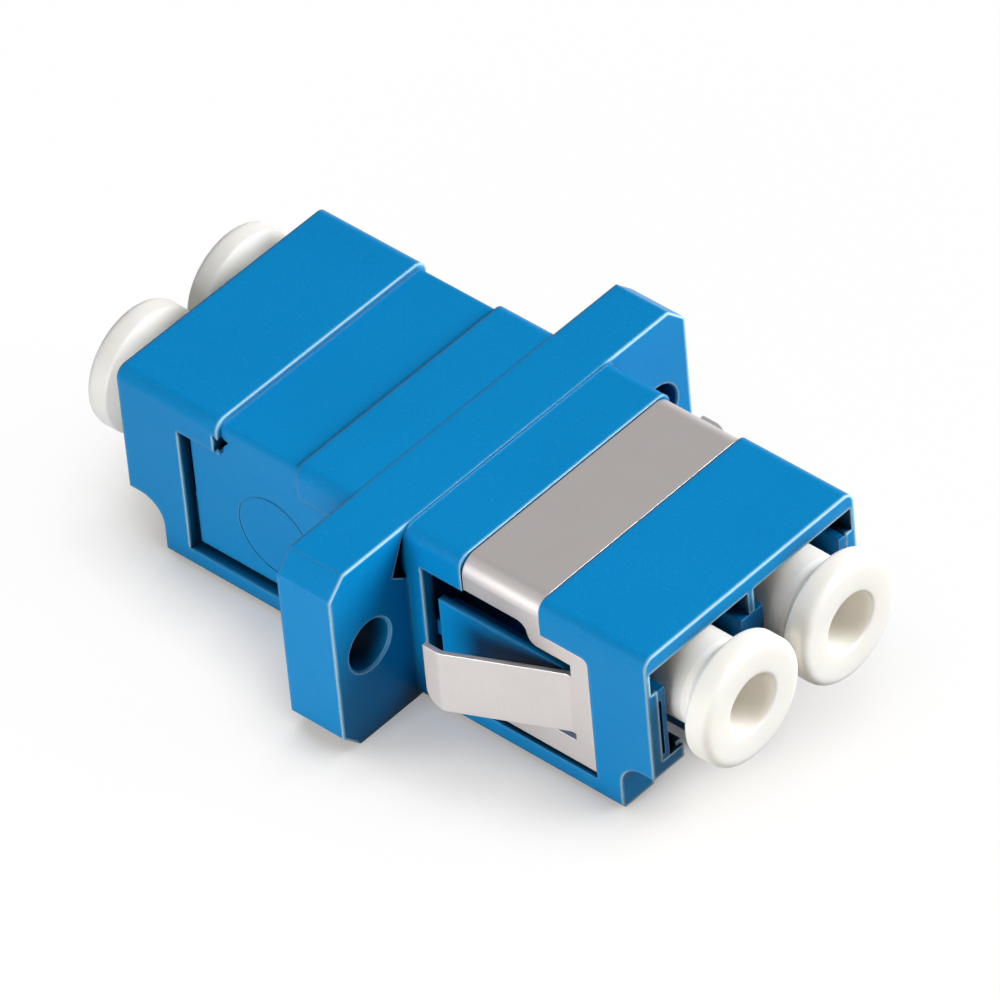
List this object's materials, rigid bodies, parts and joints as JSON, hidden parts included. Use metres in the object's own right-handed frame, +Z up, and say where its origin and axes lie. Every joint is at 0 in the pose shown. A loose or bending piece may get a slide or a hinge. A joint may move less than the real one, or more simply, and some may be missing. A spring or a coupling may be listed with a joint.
{
  "type": "fibre optic adapter",
  "caption": "Duplex LC fibre coupler with a flanged blue moulded housing, a sprung steel panel clip and pull-off dust caps on every port.",
  "frame": {"origin": "on the ground under the middle of the adapter, between its two halves", "axes": "+X out of the front ports, whose half carries the clip; +Y across the two ports; +Z up"},
  "size_m": [0.0354, 0.0226, 0.0097],
  "materials": {
    "blue_plastic": "moulded engineering plastic, satin, fine moulding texture",
    "frame_plastic": "the same plastic, inner moulding",
    "spring_steel": "cold-rolled stainless spring sheet, satin",
    "ceramic": "fired zirconia, polished",
    "cap_plastic": "soft natural polyethylene, slightly translucent"
  },
  "bodies": {
    "adapter": {"housing": "blue_plastic", "front_inner_frame": "frame_plastic", "rear_inner_frame": "frame_plastic", "left_sleeve": "ceramic", "right_sleeve": "ceramic", "panel_clip": "spring_steel"},
    "front_left_dust_cap": {"front_left_cap": "cap_plastic"},
    "front_right_dust_cap": {"front_right_cap": "cap_plastic"},
    "rear_left_dust_cap": {"rear_left_cap": "cap_plastic"},
    "rear_right_dust_cap": {"rear_right_cap": "cap_plastic"}
  },
  "joints": [
    {"name": "front_left_cap_pull", "type": "slide", "parent": "adapter", "child": "front_left_dust_cap", "axis": [1, 0, 0], "range_m": [0, 0.012]},
    {"name": "front_right_cap_pull", "type": "slide", "parent": "adapter", "child": "front_right_dust_cap", "axis": [1, 0, 0], "range_m": [0, 0.012]},
    {"name": "rear_left_cap_pull", "type": "slide", "parent": "adapter", "child": "rear_left_dust_cap", "axis": [-1, 0, 0], "range_m": [0, 0.012]},
    {"name": "rear_right_cap_pull", "type": "slide", "parent": "adapter", "child": "rear_right_dust_cap", "axis": [-1, 0, 0], "range_m": [0, 0.012]}
  ]
}
